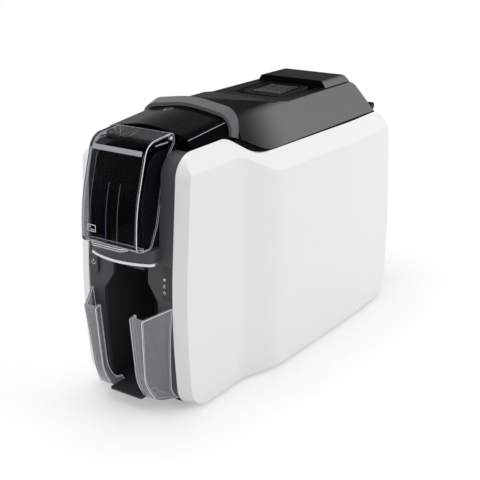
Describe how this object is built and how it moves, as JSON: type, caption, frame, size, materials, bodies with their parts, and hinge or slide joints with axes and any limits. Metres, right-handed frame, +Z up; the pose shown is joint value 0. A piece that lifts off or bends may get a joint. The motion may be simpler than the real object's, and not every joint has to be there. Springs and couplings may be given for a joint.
{
  "type": "id card printer",
  "caption": "Desktop id card printer: white side covers, clear hopper door, open output bin between clear wings, black latched lid over ribbon and rollers.",
  "frame": {"origin": "under the middle of the whole printer, on the surface its feet stand on", "axes": "+Z up, front towards -Y, the user's right-hand side is +X"},
  "size_m": [0.1562, 0.3994, 0.2683],
  "materials": {
    "white_gloss": "satin",
    "black_matte": "fine grain",
    "black_gloss": "polished",
    "smoke_clear": "clear, polished",
    "steel": "satin",
    "rubber": "matte",
    "gear_white": "moulded",
    "motor_metal": "satin",
    "film": "smooth",
    "spool_plastic": "moulded",
    "head_aluminium": "milled",
    "board_green": "lacquered",
    "silver_trim": "metallic",
    "screw_steel": "zinc plated",
    "status_glass": "clear over dark print",
    "seal_rubber": "matte"
  },
  "bodies": {
    "printer": {"side_cover_right": "white_gloss", "side_cover_left": "white_gloss", "base_chassis": "black_matte", "feet": "rubber", "cover_screws": "screw_steel", "side_frame_left": "steel", "side_frame_right": "steel", "tie_rods": "steel", "tie_rod_screws": "screw_steel", "idler_studs": "steel", "drive_motor": "motor_metal", "card_guide": "spool_plastic", "ribbon_film": "film", "hopper_housing": "black_matte", "door_hinge_pins": "steel", "front_fascia": "black_matte", "status_window": "status_glass", "trim_strip": "silver_trim", "output_bin": "black_matte", "output_wing_right": "smoke_clear", "output_wing_left": "smoke_clear", "front_hood": "black_gloss", "latch_catches": "steel", "lid_deck": "black_matte", "lid_hinge_pins": "steel", "lid_seal": "seal_rubber", "rear_panel": "black_matte", "control_board": "board_green", "data_socket": "steel", "network_socket": "black_matte", "power_inlet": "black_matte"},
    "lid": {"lid_cover": "black_matte", "lid_collar": "black_gloss", "lid_inner_frame": "black_matte", "head_bracket": "steel", "printhead": "head_aluminium"},
    "latch_button": {"latch_button": "black_matte"},
    "latch_hooks": {"latch_hooks": "steel"},
    "hopper_door": {"hopper_door": "smoke_clear"},
    "power_button": {"power_button": "black_gloss"},
    "platen": {"platen_roller": "rubber", "platen_gear": "gear_white"},
    "feed": {"feed_roller": "rubber", "feed_gear": "gear_white"},
    "transport_front": {"transport_roller_front": "rubber", "transport_gear_front": "gear_white"},
    "transport_rear": {"transport_roller_rear": "rubber", "transport_gear_rear": "gear_white"},
    "idler_front": {"idler_gear_front": "gear_white"},
    "idler_middle": {"idler_gear_middle": "gear_white"},
    "idler_rear": {"idler_gear_rear": "gear_white"},
    "motor_pinion": {"motor_pinion": "steel"},
    "ribbon_idler": {"ribbon_idler_gear": "gear_white"},
    "takeup": {"takeup_spool": "spool_plastic", "takeup_ribbon_roll": "film", "takeup_gear": "gear_white"},
    "supply": {"supply_spool": "spool_plastic", "supply_ribbon_roll": "film"},
    "pinch_front": {"pinch_roller_front": "steel"},
    "pinch_rear": {"pinch_roller_rear": "steel"}
  },
  "joints": [
    {"name": "lid_hinge", "type": "hinge", "parent": "printer", "child": "lid", "pos_m": [0, 0.18075, 0.2226], "axis": [-1, 0, 0], "range_deg": [0, 90]},
    {"name": "latch_press", "type": "slide", "parent": "lid", "child": "latch_button", "axis": [0, 0, -1], "range_m": [0, 0.0025], "stiffness_N_per_m": 600, "springref_m": -0.002},
    {"name": "latch_swing", "type": "hinge", "parent": "lid", "child": "latch_hooks", "pos_m": [0, 0.01875, 0.232], "axis": [-1, 0, 0], "range_deg": [0, 10]},
    {"name": "door_hinge", "type": "hinge", "parent": "printer", "child": "hopper_door", "pos_m": [0, -0.14625, 0.248], "axis": [-1, 0, 0], "range_deg": [0, 90]},
    {"name": "power_press", "type": "slide", "parent": "printer", "child": "power_button", "axis": [0, 1, 0], "range_m": [0, 0.0015], "stiffness_N_per_m": 500, "springref_m": -0.001},
    {"name": "platen_spin", "type": "hinge", "parent": "printer", "child": "platen", "pos_m": [0, 0.03875, 0.152], "axis": [1, 0, 0], "continuous": true},
    {"name": "feed_spin", "type": "hinge", "parent": "printer", "child": "feed", "pos_m": [0, -0.11125, 0.152], "axis": [1, 0, 0], "continuous": true},
    {"name": "transport_front_spin", "type": "hinge", "parent": "printer", "child": "transport_front", "pos_m": [0, -0.06125, 0.152], "axis": [1, 0, 0], "continuous": true},
    {"name": "transport_rear_spin", "type": "hinge", "parent": "printer", "child": "transport_rear", "pos_m": [0, -0.01125, 0.152], "axis": [1, 0, 0], "continuous": true},
    {"name": "idler_front_spin", "type": "hinge", "parent": "printer", "child": "idler_front", "pos_m": [0, -0.08625, 0.1418], "axis": [1, 0, 0], "continuous": true},
    {"name": "idler_middle_spin", "type": "hinge", "parent": "printer", "child": "idler_middle", "pos_m": [0, -0.03625, 0.1418], "axis": [1, 0, 0], "continuous": true},
    {"name": "idler_rear_spin", "type": "hinge", "parent": "printer", "child": "idler_rear", "pos_m": [0, 0.01375, 0.1418], "axis": [1, 0, 0], "continuous": true},
    {"name": "motor_spin", "type": "hinge", "parent": "printer", "child": "motor_pinion", "pos_m": [0, 0.01375, 0.1198], "axis": [1, 0, 0], "continuous": true},
    {"name": "ribbon_idler_spin", "type": "hinge", "parent": "printer", "child": "ribbon_idler", "pos_m": [0, -0.01125, 0.173], "axis": [1, 0, 0], "continuous": true},
    {"name": "takeup_spin", "type": "hinge", "parent": "printer", "child": "takeup", "pos_m": [0, -0.01125, 0.2], "axis": [1, 0, 0], "continuous": true},
    {"name": "supply_spin", "type": "hinge", "parent": "printer", "child": "supply", "pos_m": [0, 0.10375, 0.2], "axis": [1, 0, 0], "continuous": true},
    {"name": "pinch_front_spin", "type": "hinge", "parent": "printer", "child": "pinch_front", "pos_m": [0, -0.06125, 0.1659], "axis": [1, 0, 0], "continuous": true},
    {"name": "pinch_rear_spin", "type": "hinge", "parent": "printer", "child": "pinch_rear", "pos_m": [0, -0.01125, 0.1659], "axis": [1, 0, 0], "continuous": true}
  ],
  "couplings": [
    {"joint": "latch_swing", "follows": "latch_press", "rad_per_m": 69.8},
    {"joint": "feed_spin", "follows": "platen_spin", "ratio": 1},
    {"joint": "transport_front_spin", "follows": "platen_spin", "ratio": 1},
    {"joint": "transport_rear_spin", "follows": "platen_spin", "ratio": 1},
    {"joint": "idler_front_spin", "follows": "platen_spin", "ratio": -0.8},
    {"joint": "idler_middle_spin", "follows": "platen_spin", "ratio": -0.8},
    {"joint": "idler_rear_spin", "follows": "platen_spin", "ratio": -0.8},
    {"joint": "motor_spin", "follows": "platen_spin", "ratio": 1.7143},
    {"joint": "ribbon_idler_spin", "follows": "platen_spin", "ratio": -1.3333},
    {"joint": "takeup_spin", "follows": "platen_spin", "ratio": 0.66667},
    {"joint": "pinch_front_spin", "follows": "platen_spin", "ratio": -1.6},
    {"joint": "pinch_rear_spin", "follows": "platen_spin", "ratio": -1.6}
  ]
}
